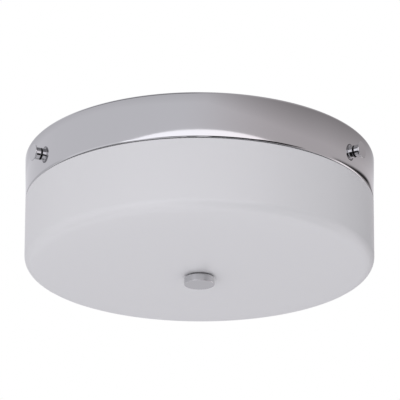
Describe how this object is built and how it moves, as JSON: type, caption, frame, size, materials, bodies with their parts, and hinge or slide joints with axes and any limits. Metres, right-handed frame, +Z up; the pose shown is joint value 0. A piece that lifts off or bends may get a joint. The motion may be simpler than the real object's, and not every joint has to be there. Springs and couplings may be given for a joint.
{
  "type": "flush mount ceiling light",
  "caption": "Round flush ceiling light: chrome skirt with side knobs over an opal glass drum held by a centre finial, with mounting plate, lampholders and lamps inside.",
  "frame": {"origin": "centre of the mounting plate's top face, on the ceiling", "axes": "+Z up into the ceiling; the light hangs towards -Z; one side knob points along +Y"},
  "size_m": [0.3498, 0.3578, 0.1278],
  "materials": {
    "chrome": "polished chrome plate",
    "opal_glass": "opal white, smooth",
    "plate_coat": "white powder coat",
    "bracket_steel": "zinc plated",
    "zinc_fasteners": "zinc plated",
    "rod_steel": "zinc plated thread",
    "brass": "turned",
    "bronze": "spring bronze",
    "pin_nickel": "nickel wire",
    "black_rubber": "matte",
    "clear_silicone": "translucent silicone",
    "foam": "closed-cell foam",
    "porcelain": "unglazed steatite",
    "lamp_ceramic": "ceramic",
    "frosted_glass": "frosted",
    "block_plastic": "moulded",
    "nylon": "natural nylon",
    "lead_insulation": "silicone insulation",
    "earth_insulation": "green and yellow insulation"
  },
  "bodies": {
    "root": {"mounting_plate": "plate_coat", "ceiling_gasket": "foam", "pan_skirt": "chrome", "cable_grommet": "black_rubber", "lug_nuts": "zinc_fasteners", "glass_rim_seal": "clear_silicone", "centre_rod": "rod_steel", "rod_nut_upper": "zinc_fasteners", "rod_washers": "zinc_fasteners", "rod_nut_lower": "zinc_fasteners", "stop_washer": "zinc_fasteners", "stop_nut": "zinc_fasteners", "holder_bracket_1": "bracket_steel", "holder_bracket_2": "bracket_steel", "holder_bracket_3": "bracket_steel", "lampholder_1": "porcelain", "lampholder_2": "porcelain", "lampholder_3": "porcelain", "holder_contacts": "bronze", "holder_screws": "zinc_fasteners", "bracket_screws": "zinc_fasteners", "terminal_block": "block_plastic", "terminal_inserts": "brass", "terminal_screws": "zinc_fasteners", "terminal_fixing_screws": "zinc_fasteners", "earth_tag": "brass", "earth_washer": "zinc_fasteners", "earth_screw": "brass", "earth_lead": "earth_insulation", "lead_clips": "nylon", "lamp_leads_1": "lead_insulation", "lamp_leads_2": "lead_insulation", "lamp_leads_3": "lead_insulation"},
    "glass": {"glass_shade": "opal_glass", "glass_bushing": "clear_silicone"},
    "finial_washer": {"finial_washer": "black_rubber"},
    "finial": {"finial": "chrome"},
    "knob_washer_1": {"knob_washer_1": "black_rubber"},
    "knob_1": {"side_knob_1": "chrome", "knob_stud_1": "zinc_fasteners"},
    "knob_washer_2": {"knob_washer_2": "black_rubber"},
    "knob_2": {"side_knob_2": "chrome", "knob_stud_2": "zinc_fasteners"},
    "knob_washer_3": {"knob_washer_3": "black_rubber"},
    "knob_3": {"side_knob_3": "chrome", "knob_stud_3": "zinc_fasteners"},
    "lamp_1": {"lamp_base_1": "lamp_ceramic", "lamp_capsule_1": "frosted_glass", "lamp_pins_1": "pin_nickel"},
    "lamp_2": {"lamp_base_2": "lamp_ceramic", "lamp_capsule_2": "frosted_glass", "lamp_pins_2": "pin_nickel"},
    "lamp_3": {"lamp_base_3": "lamp_ceramic", "lamp_capsule_3": "frosted_glass", "lamp_pins_3": "pin_nickel"}
  },
  "joints": [
    {"name": "glass_drop", "type": "slide", "parent": "root", "child": "glass", "axis": [0, 0, -1], "range_m": [0, 0.09]},
    {"name": "finial_travel", "type": "slide", "parent": "glass", "child": "finial_washer", "axis": [0, 0, -1], "range_m": [0, 0.0111]},
    {"name": "finial_turn", "type": "hinge", "parent": "finial_washer", "child": "finial", "pos_m": [0, 0, -0.1243], "axis": [0, 0, -1], "range_deg": [0, 3960]},
    {"name": "knob_1_travel", "type": "slide", "parent": "root", "child": "knob_washer_1", "axis": [0, 1, 0], "range_m": [0, 0.0057]},
    {"name": "knob_1_turn", "type": "hinge", "parent": "knob_washer_1", "child": "knob_1", "pos_m": [0, 0.1748, -0.024], "axis": [0, 1, 0], "range_deg": [0, 2520]},
    {"name": "knob_2_travel", "type": "slide", "parent": "root", "child": "knob_washer_2", "axis": [-0.866, -0.5, 0], "range_m": [0, 0.0057]},
    {"name": "knob_2_turn", "type": "hinge", "parent": "knob_washer_2", "child": "knob_2", "pos_m": [-0.15138, -0.0874, -0.024], "axis": [-0.866, -0.5, 0], "range_deg": [0, 2520]},
    {"name": "knob_3_travel", "type": "slide", "parent": "root", "child": "knob_washer_3", "axis": [0.866, -0.5, 0], "range_m": [0, 0.0057]},
    {"name": "knob_3_turn", "type": "hinge", "parent": "knob_washer_3", "child": "knob_3", "pos_m": [0.15138, -0.0874, -0.024], "axis": [0.866, -0.5, 0], "range_deg": [0, 2520]},
    {"name": "lamp_1_pull", "type": "slide", "parent": "root", "child": "lamp_1", "axis": [0.866, 0.5, 0], "range_m": [0, 0.014]},
    {"name": "lamp_2_pull", "type": "slide", "parent": "root", "child": "lamp_2", "axis": [-0.866, 0.5, 0], "range_m": [0, 0.014]},
    {"name": "lamp_3_pull", "type": "slide", "parent": "root", "child": "lamp_3", "axis": [0, -1, 0], "range_m": [0, 0.014]}
  ],
  "couplings": [
    {"joint": "finial_travel", "follows": "finial_turn", "m_per_rad": 0.00015915},
    {"joint": "knob_1_travel", "follows": "knob_1_turn", "m_per_rad": 0.00012732},
    {"joint": "knob_2_travel", "follows": "knob_2_turn", "m_per_rad": 0.00012732},
    {"joint": "knob_3_travel", "follows": "knob_3_turn", "m_per_rad": 0.00012732}
  ]
}
